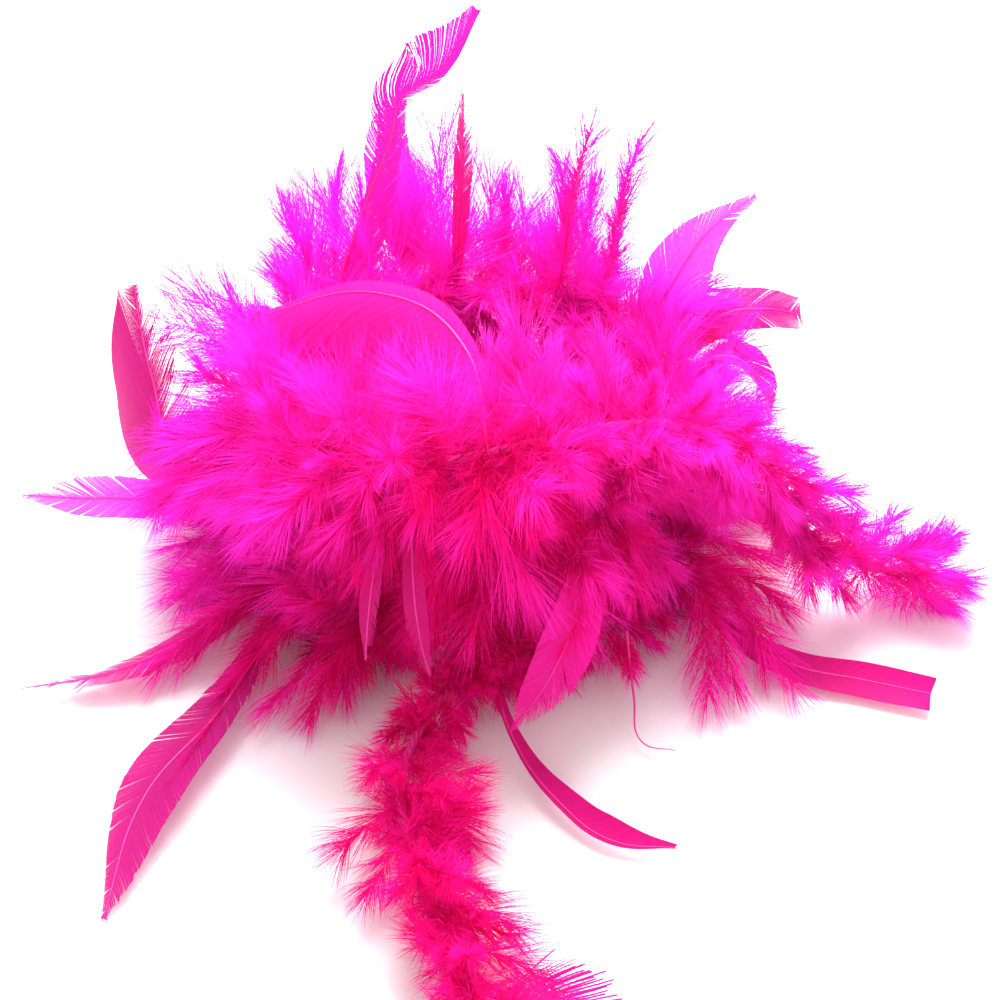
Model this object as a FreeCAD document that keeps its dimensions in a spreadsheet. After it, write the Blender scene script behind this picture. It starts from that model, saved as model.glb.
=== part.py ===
"""Feather boa lying in a loose heap on a table, about 1.8 m of it.

Millimetres, +Z up, the table is Z = 0 and the person looking at the heap stands on the -Y side.
The origin is the middle of the boa's whole box, on the table.
One twisted core cord runs from the knot at the front end, through three layers of loose loops, to
the knot at the right-hand end. Short feathers are trapped all along the core; each stretch of them
is one soft solid (plumage_*). Long flat feathers that stand out of the heap are nodes of their own.
The cord is split at four places, where the two ends of the boa bend as they are moved about.
"""

import FreeCAD, Part
import math
import os

V = FreeCAD.Vector
doc = FreeCAD.newDocument("feather_boa")

# ---------------------------------------------------------------- driving dimensions

SIZES = {
    "core_radius": 2.0,  # twisted cotton core, 4 mm across
    "plumage_radius": 22.0,  # soft solid that stands for the down pressed round the core
    "plumage_gap": 0.5,  # between one soft solid and the next
    "hinge_clear": 8.0,  # from a bending point to the plumage each side of it
    "hinge_end_radius": 10.0,  # the plumage narrows to this beside a bending point
    "pivot_radius": 2.2,  # rounded end of the cord at a bending point
    "pivot_clear": 2.6,  # from a bending point to the next stretch of cord
    "knot_ring": 2.6,  # overhand knot, middle of its turn
    "knot_strand": 1.7,  # overhand knot, radius of the strand
    "knot_collar": 4.0,  # straight cord drawn into the knot
    "knot_stub": 8.0,  # cut end of the cord beyond the knot
    "thread_radius": 0.4,  # binding thread
    "thread_pitch": 0.6,  # from one turn of the binding to the next
    "thread_clear": 0.05,  # between the binding and the core
    "thread_turns": 6.0,  # turns of binding thread at each end
    "binding_start": 6.0,  # from the knot to the binding
    "end_bare": 12.0,  # bare core between the knot and the first feathers
    "shaft_radius": 0.8,  # quill of a long feather
    "vane_edge": 0.3,  # half of a vane's thickness at its edge
}

sheet = doc.addObject("Spreadsheet::Sheet", "Sizes")
for row, (alias, value) in enumerate(SIZES.items(), start=1):
    sheet.set("A%d" % row, alias)
    sheet.set("B%d" % row, str(value))
    sheet.setAlias("B%d" % row, alias)
doc.recompute()


def size(alias):
    """A driving dimension, read back from the sheet."""
    return float(sheet.get(alias))


# ---------------------------------------------------------------- route of the core cord

HEAP = V(-11, 102, 0)  # the middle of the heap, which the points below are measured from

# From the front end, along the table, round three layers of loops and down to the right-hand end.
ROUTE = [
    HEAP + V(*xyz)
    for xyz in [
        (10, -348, 20), (-8, -304, 20), (2, -256, 20), (-20, -210, 20), (-36, -162, 20),
        (-22, -114, 20), (12, -82, 20), (58, -68, 20), (93, -26, 20), (90, 29, 20),
        (52, 73, 20), (-4, 90, 20), (-58, 72, 20), (-92, 26, 20), (-90, -28, 20),
        (-58, -62, 20), (-12, -42, 20), (28, -26, 20), (40, 12, 20), (12, 40, 20),
        (-28, 34, 30), (-48, -2, 54), (-34, -46, 70), (10, -66, 70), (54, -52, 68),
        (82, -8, 68), (72, 43, 69), (27, 77, 71), (-27, 80, 73), (-72, 52, 76),
        (-92, 4, 80), (-78, -45, 97), (-34, -71, 116), (18, -60, 119), (62, -42, 117),
        (102, -34, 103), (129, -30, 71), (142, -34, 36), (170, -36, 20), (203, -40, 20),
    ]
]
BEND_SHARE = 0.45  # of the shorter run beside it, taken by each bend's tangent


def route_parts(points):
    """Straight runs joined by tangent arcs, as (length, function from distance to point) pairs."""
    parts = []
    start = points[0]
    for before, corner, after in zip(points, points[1:], points[2:]):
        into = (corner - before).normalize()
        out = (after - corner).normalize()
        turn = into.getAngle(out)
        tangent = BEND_SHARE * min((corner - before).Length, (after - corner).Length)
        radius = tangent / math.tan(turn / 2)
        entry = corner - into * tangent
        inward = (out - into * into.dot(out)).normalize()
        parts.append(line_part(start, entry))
        parts.append(arc_part(entry, into, inward, radius, turn))
        start = corner + out * tangent
        print("bend radius %.0f mm, turn %.0f deg" % (radius, math.degrees(turn)))
    parts.append(line_part(start, points[-1]))
    return parts


def line_part(start, end):
    along = (end - start).normalize()
    return (end - start).Length, "line", lambda d: start + along * d


def arc_part(entry, into, inward, radius, turn):
    def at(d):
        swept = d / radius
        return entry + into * (radius * math.sin(swept)) + inward * (radius * (1 - math.cos(swept)))

    return radius * turn, "arc", at


PARTS = route_parts(ROUTE)
LENGTH = sum(part[0] for part in PARTS)
print("core cord %.0f mm long" % LENGTH)


def stretch(first, last):
    """The edges of the route from one distance along it to another."""
    edges = []
    passed = 0.0
    for length, kind, at in PARTS:
        low = max(first - passed, 0.0)
        high = min(last - passed, length)
        passed += length
        if high - low < 1e-3:
            continue
        if kind == "line":
            edges.append(Part.LineSegment(at(low), at(high)).toShape())
        else:
            edges.append(Part.Arc(at(low), at((low + high) / 2), at(high)).toShape())
    return edges


def place_on_route(distance, backwards=False):
    """The placement on the route whose Z axis runs along the cord."""
    step = 0.5
    if distance + step > LENGTH:
        edge = stretch(distance - step, distance)[-1]
        parameter = edge.LastParameter
    else:
        edge = stretch(distance, distance + step)[0]
        parameter = edge.FirstParameter
    along = edge.tangentAt(parameter)
    if backwards:
        along = along * -1
    return FreeCAD.Placement(edge.valueAt(parameter), FreeCAD.Rotation(V(0, 0, 1), along))


def distance_of_run(index):
    """How far along the route the middle of the run after point number index lies."""
    whole = sum(part[0] for part in PARTS[: 2 * index])
    return whole + PARTS[2 * index][0] / 2


FRONT_LIFT = distance_of_run(2)
FRONT_SWING = distance_of_run(4)
RIGHT_SWING = distance_of_run(35)
RIGHT_LIFT = distance_of_run(37)

for name, distance in [
    ("front_lift", FRONT_LIFT), ("front_swing", FRONT_SWING),
    ("right_swing", RIGHT_SWING), ("right_lift", RIGHT_LIFT),
]:
    spot = place_on_route(distance)
    point = spot.Base
    along = spot.Rotation.multVec(V(0, 0, 1))
    print("%s at %.2f %.2f %.2f mm, cord runs along %.3f %.3f %.3f"
          % (name, point.x, point.y, point.z, along.x, along.y, along.z))

# ---------------------------------------------------------------- helpers

NODES = []


def keep(obj, label):
    """Name an object as one piece of the boa."""
    obj.Label = label
    NODES.append(obj)
    return obj


def spine(label, first, last):
    """A wire along the route, which a cord or a plumage solid is swept on."""
    obj = doc.addObject("Part::Feature", label + "_line")
    obj.Shape = Part.Wire(stretch(first, last))
    return obj


def tube(label, first, last, radius_alias):
    """A round section swept along a stretch of the route."""
    path = spine(label, first, last)
    ring = doc.addObject("Part::Circle", label + "_section")
    ring.setExpression("Radius", "Sizes." + radius_alias)
    ring.Placement = place_on_route(first)
    sweep = doc.addObject("Part::Sweep", label + "_sweep")
    sweep.Sections = [ring]
    sweep.Spine = (path, ["Edge%d" % (i + 1) for i in range(len(path.Shape.Edges))])
    sweep.Solid = True
    sweep.Frenet = False
    return sweep


def fuse(label, objects):
    joined = doc.addObject("Part::MultiFuse", label + "_fused")
    joined.Shapes = objects
    return joined


# ---------------------------------------------------------------- core cord

CORES = [
    # name, start, end, where it has rounded pivot ends
    ("core_front_tip", size("knot_collar"), FRONT_LIFT - size("pivot_clear"), []),
    ("core_front_tail", FRONT_LIFT, FRONT_SWING - size("pivot_clear"), [FRONT_LIFT]),
    ("core_heap", FRONT_SWING, RIGHT_SWING, [FRONT_SWING, RIGHT_SWING]),
    ("core_right_tail", RIGHT_SWING + size("pivot_clear"), RIGHT_LIFT, [RIGHT_LIFT]),
    ("core_right_tip", RIGHT_LIFT + size("pivot_clear"), LENGTH - size("knot_collar"), []),
]


def pivot_ball(label, distance):
    ball = doc.addObject("Part::Sphere", label)
    ball.setExpression("Radius", "Sizes.pivot_radius")
    ball.Placement = FreeCAD.Placement(place_on_route(distance).Base, FreeCAD.Rotation())
    return ball


for label, first, last, pivots in CORES:
    cord = tube(label, first, last, "core_radius")
    if pivots:
        balls = [pivot_ball("%s_ball_%d" % (label, i), at) for i, at in enumerate(pivots)]
        cord = fuse(label, [cord] + balls)
    keep(cord, label)

# ---------------------------------------------------------------- knots and thread bindings

ENDS = [("front", 0.0, True), ("right", LENGTH, False)]
thread_turns = int(size("thread_turns"))

for side, distance, backwards in ENDS:
    outward = place_on_route(distance, backwards)

    turn = doc.addObject("Part::Torus", "knot_%s_turn" % side)
    turn.setExpression("Radius1", "Sizes.knot_ring")
    turn.setExpression("Radius2", "Sizes.knot_strand")
    turn.Placement = outward
    bight = doc.addObject("Part::Torus", "knot_%s_bight" % side)
    bight.setExpression("Radius1", "Sizes.knot_ring")
    bight.setExpression("Radius2", "Sizes.knot_strand")
    bight.Placement = outward.multiply(
        FreeCAD.Placement(V(0, 0, size("knot_strand")), FreeCAD.Rotation(V(1, 0, 0), 62))
    )
    stub = doc.addObject("Part::Cylinder", "knot_%s_stub" % side)
    stub.setExpression("Radius", "Sizes.core_radius")
    stub.setExpression("Height", "Sizes.knot_collar + Sizes.knot_stub")
    drawn_in = FreeCAD.Placement(V(0, 0, -size("knot_collar")), FreeCAD.Rotation())
    stub.Placement = outward.multiply(drawn_in)
    keep(fuse("knot_" + side, [turn, bight, stub]), "knot_" + side)

    turns = []
    for i in range(thread_turns):
        ring = doc.addObject("Part::Torus", "binding_%s_turn_%d" % (side, i))
        ring.setExpression("Radius1", "Sizes.core_radius + Sizes.thread_radius + Sizes.thread_clear")
        ring.setExpression("Radius2", "Sizes.thread_radius")
        inward = size("binding_start") + i * size("thread_pitch")
        along = distance + inward if backwards else distance - inward
        ring.Placement = place_on_route(along)
        turns.append(ring)
    keep(fuse("binding_" + side, turns), "binding_" + side)

# ---------------------------------------------------------------- plumage

TABLE = 1000.0  # half of the block that stands on the table and trims what would sink into it
table_block = doc.addObject("Part::Box", "above_table")
table_block.Length = table_block.Width = 2 * TABLE
table_block.Height = TABLE
table_block.Placement = FreeCAD.Placement(V(-TABLE, -TABLE, 0), FreeCAD.Rotation())

FUNNEL = 260.0  # length of the cone that narrows the plumage beside a bending point


def funnel(label, pivot, backwards):
    """A cone that opens away from a bending point."""
    cone = doc.addObject("Part::Cone", label)
    cone.setExpression("Radius1", "Sizes.hinge_end_radius")
    cone.setExpression("Radius2", "Sizes.hinge_end_radius + %g" % FUNNEL)
    cone.Height = FUNNEL
    spot = place_on_route(pivot, backwards)
    away = spot.Rotation.multVec(V(0, 0, size("hinge_clear")))
    cone.Placement = FreeCAD.Placement(spot.Base + away, spot.Rotation)
    return cone


def plumage(label, first, last, funnels):
    down = tube(label, first, last, "plumage_radius")
    trimmed = doc.addObject("Part::MultiCommon", label + "_trimmed")
    trimmed.Shapes = [down, table_block] + funnels
    return keep(trimmed, label)


clear = size("hinge_clear")
bare = size("end_bare")
# body, start, end, number of solids, bending point at its start, bending point at its end
STRETCHES = [
    ("front_tip", bare, FRONT_LIFT - clear, 1, None, FRONT_LIFT),
    ("front_tail", FRONT_LIFT + clear, FRONT_SWING - clear, 1, FRONT_LIFT, FRONT_SWING),
    ("heap", FRONT_SWING + clear, RIGHT_SWING - clear, 16, FRONT_SWING, RIGHT_SWING),
    ("right_tail", RIGHT_SWING + clear, RIGHT_LIFT - clear, 1, RIGHT_SWING, RIGHT_LIFT),
    ("right_tip", RIGHT_LIFT + clear, LENGTH - bare, 1, RIGHT_LIFT, None),
]
gap = size("plumage_gap")
for body, first, last, count, pivot_before, pivot_after in STRETCHES:
    step = (last - first) / count
    for i in range(count):
        label = "plumage_%s_%02d" % (body, i + 1) if count > 1 else "plumage_" + body
        funnels = []
        if i == 0 and pivot_before is not None:
            funnels.append(funnel(label + "_cone_a", pivot_before, False))
        if i == count - 1 and pivot_after is not None:
            funnels.append(funnel(label + "_cone_b", pivot_after, True))
        low = first + i * step + (gap / 2 if i else 0)
        high = first + (i + 1) * step - (gap / 2 if i < count - 1 else 0)
        plumage(label, low, high, funnels)

# ---------------------------------------------------------------- long feathers

# name: points of the quill from root to tip, direction across the vane, vane width, how its width runs
FEATHERS = {
    "feather_crest": (
        [(-64, 52, 90), (-58, 50, 124), (-48, 60, 152), (-38, 72, 174), (-34, 80, 188), (-18, 88, 196),
         (0, 97, 224)],
        (0.75, 0.25, -0.6), 24, 0.35),
    "feather_crest_edge": (
        [(-12, 66, 86), (-10, 60, 124), (-8, 64, 160), (-7, 74, 197)], (0.1, -0.75, 0.65), 18, 0.65),
    "feather_plume_tall": (
        [(32, 62, 80), (37, 58, 126), (41, 64, 156), (50, 80, 187)], (0.9, 0.1, -0.3), 22, 0.45),
    "feather_plume_side": (
        [(52, 60, 80), (57, 62, 116), (62, 74, 144), (69, 86, 162)], (0.85, 0.0, -0.5), 20, 0.45),
    "feather_folded": (
        [(66, 48, 80), (76, 52, 112), (94, 66, 134), (116, 78, 140)], (0.7, -0.35, -0.6), 34, 0.50),
    "feather_broken_tip": (
        [(78, 28, 78), (102, 42, 100), (121, 48, 101), (137, 52, 94)], (0.2, -0.6, 0.75), 15, 0.75),
    "feather_shoulder": (
        [(84, 18, 78), (106, 22, 94), (121, 14, 86), (125, 2, 72)], (0.3, 0.75, -0.2), 22, 0.60),
    "feather_strap": (
        [(88, -42, 24), (108, -66, 14), (134, -80, 8), (164, -87, 6), (193, -96, 7)],
        (0.35, 0.85, 0.25), 19, 0.80),
    "feather_curl": (
        [(4, -92, 24), (14, -126, 13), (34, -158, 8), (54, -175, 6), (81, -179, 6)],
        (0.8, 0.55, 0.1), 15, 0.70),
    "feather_web": (
        [(46, -64, 76), (42, -98, 70), (30, -124, 52), (13, -138, 31)], (0.9, -0.1, -0.35), 30, 0.60),
    "feather_bare_quill": (
        [(62, -80, 30), (65, -104, 14), (68, -121, 5), (82, -126, 5)], (0.9, 0.3, 0.2), 3, 0.90),
    "feather_tail_end": (
        [(2, -266, 22), (22, -270, 18), (42, -280, 13), (62, -296, 9)], (0.5, 0.8, 0.1), 22, 0.40),
    "feather_point_front": (
        [(-84, -52, 22), (-108, -106, 12), (-138, -152, 8), (-151, -216, 5)], (0.88, -0.4, 0.1), 36, 0.50),
    "feather_point_left": (
        [(-86, -40, 24), (-120, -70, 15), (-158, -91, 9), (-190, -101, 6)], (0.3, 0.9, 0.2), 20, 0.40),
    "feather_edge_left": (
        [(-86, -6, 80), (-124, -20, 56), (-158, -18, 52), (-191, -14, 51)], (0.0, -0.7, 0.7), 22, 0.75),
    "feather_fan_left": (
        [(-94, -2, 72), (-118, -4, 68), (-138, 18, 92), (-149, 44, 117)], (0.75, -0.4, 0.4), 34, 0.75),
    "feather_broad": (
        [(4, -72, 126), (-6, -34, 150), (-42, 4, 146), (-99, 22, 116)], (0.55, 0.75, 0.35), 46, 0.50),
    "feather_curl_small_a": (
        [(-38, -68, 112), (-42, -104, 98), (-45, -122, 80), (-46, -131, 67)], (0.95, 0.0, 0.3), 13, 0.70),
    "feather_curl_small_b": (
        [(-26, -68, 112), (-27, -106, 94), (-24, -124, 72), (-20, -132, 58)], (0.95, 0.1, 0.25), 13, 0.70),
    "feather_back_tall": (
        [(-28, 72, 82), (-36, 98, 118), (-40, 120, 138), (-34, 140, 148)], (0.9, 0.2, -0.3), 28, 0.55),
    "feather_back_low": (
        [(30, 80, 28), (42, 112, 22), (52, 136, 14), (70, 153, 8)], (0.8, -0.5, 0.1), 24, 0.60),
    "feather_back_left": (
        [(-58, 66, 28), (-92, 98, 34), (-112, 122, 24), (-126, 146, 11)], (0.6, 0.6, 0.2), 30, 0.50),
}
STATIONS = 9  # cross sections along a feather


def vane_width(along, widest):
    """Share of the full width at a share of the length: bare quill, full vane, tapered tip."""
    rise = min(1.0, along / widest)
    fall = min(1.0, max(0.0, (1 - along) / (1 - widest)))
    return 0.06 + 0.94 * math.sin(math.pi / 2 * rise) ** 1.3 * math.sin(math.pi / 2 * fall) ** 0.7


def feather(points, across, width, widest):
    """A thin closed blade, thickest along its quill, lofted over sections along a smooth line."""
    line = Part.BSplineCurve()
    line.interpolate([HEAP + V(*point) for point in points])
    side = V(*across).normalize()
    shaft = size("shaft_radius")
    edge = size("vane_edge")
    sections = []
    for i, point in enumerate(line.discretize(STATIONS)):
        along = i / (STATIONS - 1)
        tangent = line.tangent(line.parameter(point))[0]
        flat = (side - tangent * side.dot(tangent)).normalize()
        up = tangent.cross(flat)
        half = max(shaft * 1.2, width / 2 * vane_width(along, widest))
        thick = shaft * (1 - 0.6 * along)
        rim = min(edge, thick * 0.5)
        corners = [(-half, -rim), (0, -thick), (half, -rim), (half, rim), (0, thick), (-half, rim)]
        loop = [point + flat * a + up * b for a, b in corners]
        sections.append(Part.makePolygon(loop + loop[:1]))
    return Part.makeLoft(sections, True, True)


for label, (points, across, width, widest) in FEATHERS.items():
    blade = doc.addObject("Part::Feature", label)
    blade.Shape = feather(points, across, width, widest)
    blade.Placement = FreeCAD.Placement()
    keep(blade, label)

# ---------------------------------------------------------------- check and write

doc.recompute()
faults = [obj.Name for obj in doc.Objects if {"Invalid", "Error"} & set(obj.State)]
for node in NODES:
    shape = node.Shape
    if shape.isNull() or not shape.isValid() or not shape.Solids:
        faults.append(node.Label)
if faults:
    raise RuntimeError("these objects failed: " + ", ".join(faults))

os.makedirs("parts", exist_ok=True)
total = 0.0
for node in NODES:
    node.Shape.exportStep("parts/%s.step" % node.Label)
    total += node.Shape.Volume
    box = node.Shape.BoundBox
    print("%-22s %2d solid(s) %9.0f mm3  x %.0f..%.0f  y %.0f..%.0f  z %.1f..%.0f" % (
        node.Label, len(node.Shape.Solids), node.Shape.Volume,
        box.XMin, box.XMax, box.YMin, box.YMax, box.ZMin, box.ZMax))
cord = next(node for node in NODES if node.Label == "core_heap")
section = math.pi * size("core_radius") ** 2
print("core_heap volume %.0f mm3, section times length %.0f mm3"
      % (cord.Shape.Volume, section * (RIGHT_SWING - FRONT_SWING)))
print("%d nodes, %.2f litres" % (len(NODES), total / 1e6))
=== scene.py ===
# %% [markdown]
# # A feather boa in a loose heap
# A boa is one long twisted cord with hundreds of small dyed feathers trapped between its strands.
# Here about 1.8 m of it lies in three layers of loops on a table, with its two ends drawn out of the
# heap. The lesson makes the cord first, then the down that hides it, and then the long flat feathers
# that stand out of the down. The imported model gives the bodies, the joints and the room for each
# piece.

import math

import bpy
import numpy as np
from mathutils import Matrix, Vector


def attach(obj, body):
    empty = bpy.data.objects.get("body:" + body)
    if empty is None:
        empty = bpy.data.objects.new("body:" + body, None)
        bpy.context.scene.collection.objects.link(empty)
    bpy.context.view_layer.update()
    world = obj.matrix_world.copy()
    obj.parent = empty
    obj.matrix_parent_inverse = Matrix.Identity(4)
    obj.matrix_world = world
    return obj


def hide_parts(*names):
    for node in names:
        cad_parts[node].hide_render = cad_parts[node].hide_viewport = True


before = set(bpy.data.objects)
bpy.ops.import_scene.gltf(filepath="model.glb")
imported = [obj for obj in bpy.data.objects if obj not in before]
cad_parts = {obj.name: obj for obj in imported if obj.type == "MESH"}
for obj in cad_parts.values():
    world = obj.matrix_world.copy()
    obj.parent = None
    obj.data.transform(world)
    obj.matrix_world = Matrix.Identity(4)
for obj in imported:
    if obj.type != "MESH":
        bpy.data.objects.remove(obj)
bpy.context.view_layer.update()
MM = 0.001

# %% [markdown]
# ## Camera
# The heap is seen from half way up the sky, from far enough away that near and far feathers keep
# their sizes. A long lens at 1.4 m takes in a square of about 420 mm.

# %% Camera
LOOK_AT = Vector((-2.6, 60, 70)) * MM
CAMERA_DISTANCE = 1.4
CAMERA_ELEVATION = math.radians(45)
LENS = 119
back = Vector((0, -math.cos(CAMERA_ELEVATION), math.sin(CAMERA_ELEVATION)))
camera_data = bpy.data.cameras.new("camera")
camera_data.lens = LENS
camera_data.sensor_width = 36
camera = bpy.data.objects.new("camera", camera_data)
camera.location = LOOK_AT + back * CAMERA_DISTANCE
camera.rotation_mode = "QUATERNION"
camera.rotation_quaternion = (-back).to_track_quat("-Z", "Y")
bpy.context.scene.collection.objects.link(camera)
bpy.context.scene.camera = camera
print("camera at", [round(v, 3) for v in camera.location])

# %% [markdown]
# ## Light and floor
# Dyed down is seen by the light that goes through it, so the light is wide and soft: a white sky all
# round, and one large panel above and behind the heap. The panel shines through the tallest feathers,
# which gives the top its glow, and leaves the folds between the feathers deep; the down's colour adds
# painted light at the top and painted shade in the middle. The floor is a plain white sheet of card.

# %% Light
SKY_STRENGTH = 1.08
PANEL_WATTS = 32
PANEL_WIDTH = 0.8
PANEL_AIM = Vector((0, 0.05, 0.08))
world = bpy.data.worlds.new("white_room")
world.use_nodes = True
world.node_tree.nodes["Background"].inputs["Color"].default_value = (1.0, 0.99, 1.0, 1)
world.node_tree.nodes["Background"].inputs["Strength"].default_value = SKY_STRENGTH
bpy.context.scene.world = world

panel_data = bpy.data.lights.new("overhead_panel", "AREA")
panel_data.shape = "DISK"
panel_data.size = PANEL_WIDTH
panel_data.energy = PANEL_WATTS
panel = bpy.data.objects.new("overhead_panel", panel_data)
panel.location = (0.05, 0.60, 0.97)
panel.rotation_mode = "QUATERNION"
panel.rotation_quaternion = (PANEL_AIM - panel.location).to_track_quat("-Z", "Y")
bpy.context.scene.collection.objects.link(panel)
bpy.context.scene.view_settings.view_transform = "Standard"
print("sky", SKY_STRENGTH, "and a panel of", PANEL_WATTS, "W")


# %% [markdown]
# ## Helpers for materials
# Shader maths reads best as sums, so a small class wraps a socket and turns +, - and * into Math
# nodes. Two colours are mixed by a method of their own, and every other node comes from one method
# that takes its settings first and its sockets after.

# %% Material helper
class Signal:
    """One output socket of a finish, which can be added, multiplied and so on."""

    def __init__(self, finish, socket):
        self.finish = finish
        self.socket = socket

    def maths(self, operation, *values):
        sockets = dict(enumerate(values))
        return self.finish.node("ShaderNodeMath", {"operation": operation}, sockets)

    def __add__(self, other):
        return self.maths("ADD", self, other)

    __radd__ = __add__

    def __mul__(self, other):
        return self.maths("MULTIPLY", self, other)

    __rmul__ = __mul__

    def __sub__(self, other):
        return self.maths("SUBTRACT", self, other)

    def __rsub__(self, other):
        return self.maths("SUBTRACT", other, self)

    def __abs__(self):
        return self.maths("ABSOLUTE", self)


class Finish:
    """A material that is built node by node."""

    def __init__(self, name):
        self.material = bpy.data.materials.new(name)
        self.material.use_nodes = True
        self.tree = self.material.node_tree
        self.tree.nodes.clear()

    def node(self, kind, settings, sockets, output=0):
        made = self.tree.nodes.new(kind)
        for setting, value in settings.items():
            setattr(made, setting, value)
        for socket, value in sockets.items():
            if isinstance(value, Signal):
                self.tree.links.new(value.socket, made.inputs[socket])
            else:
                made.inputs[socket].default_value = value
        return Signal(self, made.outputs[output])

    def mix(self, factor, first, second):
        """A colour between two colours."""
        made = self.tree.nodes.new("ShaderNodeMix")
        made.data_type = "RGBA"
        for socket, value in (("Factor_Float", factor), ("A_Color", first), ("B_Color", second)):
            entry = next(i for i in made.inputs if i.identifier == socket)
            if isinstance(value, Signal):
                self.tree.links.new(value.socket, entry)
            else:
                entry.default_value = value
        return Signal(self, next(o for o in made.outputs if o.identifier == "Result_Color"))

    def finish(self, shader):
        output = self.tree.nodes.new("ShaderNodeOutputMaterial")
        self.tree.links.new(shader.socket, output.inputs["Surface"])
        return self.material


# %% Floor
bpy.ops.object.select_all(action="DESELECT")
bpy.ops.mesh.primitive_plane_add(size=8, location=(0, 0, 0))
floor = bpy.context.object
floor.name = "floor"
card = Finish("white_card")
floor.data.materials.append(card.finish(card.node(
    "ShaderNodeBsdfPrincipled", {},
    {"Base Color": (0.9, 0.9, 0.9, 1), "Roughness": 0.95, "Specular IOR Level": 0.1})))

# %% [markdown]
# ## The finishes
# Down has no surface of its own: it is thousands of hairs so thin that light goes through them. Each
# hair is a mix of a dull surface and a translucent one. The hair is redder at its root and more
# violet at its tip, which is painted shade deep in the down, and across the heap there is painted
# shade low down and in the middle and painted light at the top, the back and the sides. Flat vanes
# are the same dyed barbs hooked into a sheet, so they add a satin gloss and a fine ribbing that
# follows the barbs.

# %% Dye colours
DEEP = (0.80, 0.003, 0.15, 1)
BRIGHT = (1.0, 0.06, 1.0, 1)
PALE = (1.0, 0.10, 0.90, 1)


def through(finish, surface, colour, share):
    """Mixes a surface with the light that comes through it."""
    glow = finish.node("ShaderNodeBsdfTranslucent", {}, {"Color": colour})
    return finish.node("ShaderNodeMixShader", {}, {0: share, 1: surface, 2: glow})


# %% Down finish
HEAP_MIDDLE = -0.011  # where the heap's middle lies across, in metres
DOWN_LETS_THROUGH = 0.42


def down_finish():
    """Painted shade: crimson low down, in the middle and at the roots; painted light: violet at the
    top, back, sides and tips.
    """
    down = Finish("down_pink")
    place = down.node("ShaderNodeTexCoord", {}, {}, "Object")
    patches = down.node("ShaderNodeTexNoise", {}, {"Vector": place, "Scale": 28.0, "Detail": 2.0})
    dye_and_root_shade = down.node("ShaderNodeAttribute", {"attribute_name": "dye_and_root_shade"}, {}, "Fac")
    across, behind, height = (
        down.node("ShaderNodeSeparateXYZ", {}, {0: place}, axis) for axis in "XYZ")
    beside = abs(across - HEAP_MIDDLE)
    # Painted light and shade: lighter higher up, further back and further out to the sides, darker
    # low down and in the heap's middle.
    painted_light_and_shade = (height - 0.09) * 2.6 + (behind - 0.10) * 3.4 + (beside - 0.06) * 3.2
    tone_with_painted_light = dye_and_root_shade + (patches - 0.5) * 0.5 + painted_light_and_shade
    colour = down.mix(tone_with_painted_light, DEEP, BRIGHT)
    hair = down.node("ShaderNodeBsdfPrincipled", {}, {
        "Base Color": colour, "Roughness": 0.8, "Specular IOR Level": 0.05})
    return down.finish(through(down, hair, (1.0, 0.02, 0.64, 1), DOWN_LETS_THROUGH))


# %% Satin vane finish
VANE_LETS_THROUGH = 0.42


def satin_finish(name, deep, bright, glow, roughness):
    """Ribs and streaks that run along the barbs, which the map "barbs" follows in millimetres."""
    vane = Finish(name)
    place = vane.node("ShaderNodeUVMap", {"uv_map": "barbs"}, {})
    wave = vane.node("ShaderNodeTexWave", {"bands_direction": "Y", "wave_profile": "SIN"}, {
        "Vector": place, "Scale": 0.45, "Distortion": 1.2, "Detail": 2.0, "Detail Scale": 0.4})
    drawn_out = vane.node("ShaderNodeMapping", {}, {"Vector": place, "Scale": (0.02, 0.5, 1.0)})
    streaks = vane.node("ShaderNodeTexNoise", {}, {
        "Vector": drawn_out, "Scale": 1.0, "Detail": 4.0})
    ribs = wave * 0.25
    colour = vane.mix(ribs + streaks * 1.1 - 0.15, deep, bright)
    bump = vane.node("ShaderNodeBump", {}, {
        "Strength": 0.5, "Distance": 0.0002, "Height": ribs * 2.0 + streaks * 0.6}, "Normal")
    sheet = vane.node("ShaderNodeBsdfPrincipled", {}, {
        "Base Color": colour, "Roughness": roughness, "Specular IOR Level": 0.10, "Normal": bump})
    return vane.finish(through(vane, sheet, glow, VANE_LETS_THROUGH))


# %% Cord and quill finishes
def plain_finish(name, deep, bright, scale, roughness):
    """Two tones of one dyed colour in fine grains, for what has no hairs."""
    finish = Finish(name)
    place = finish.node("ShaderNodeTexCoord", {}, {}, "Object")
    fibre = finish.node("ShaderNodeTexNoise", {}, {"Vector": place, "Scale": scale, "Detail": 3.0})
    colour = finish.mix(fibre, deep, bright)
    bump = finish.node("ShaderNodeBump", {}, {
        "Strength": 0.4, "Distance": 0.0003, "Height": fibre}, "Normal")
    return finish.finish(finish.node("ShaderNodeBsdfPrincipled", {}, {
        "Base Color": colour, "Roughness": roughness, "Normal": bump}))


DOWN = down_finish()
SATIN = satin_finish("satin_vane", DEEP, (1.0, 0.025, 0.58, 1), (1.0, 0.012, 0.42, 1), 0.45)
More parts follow.
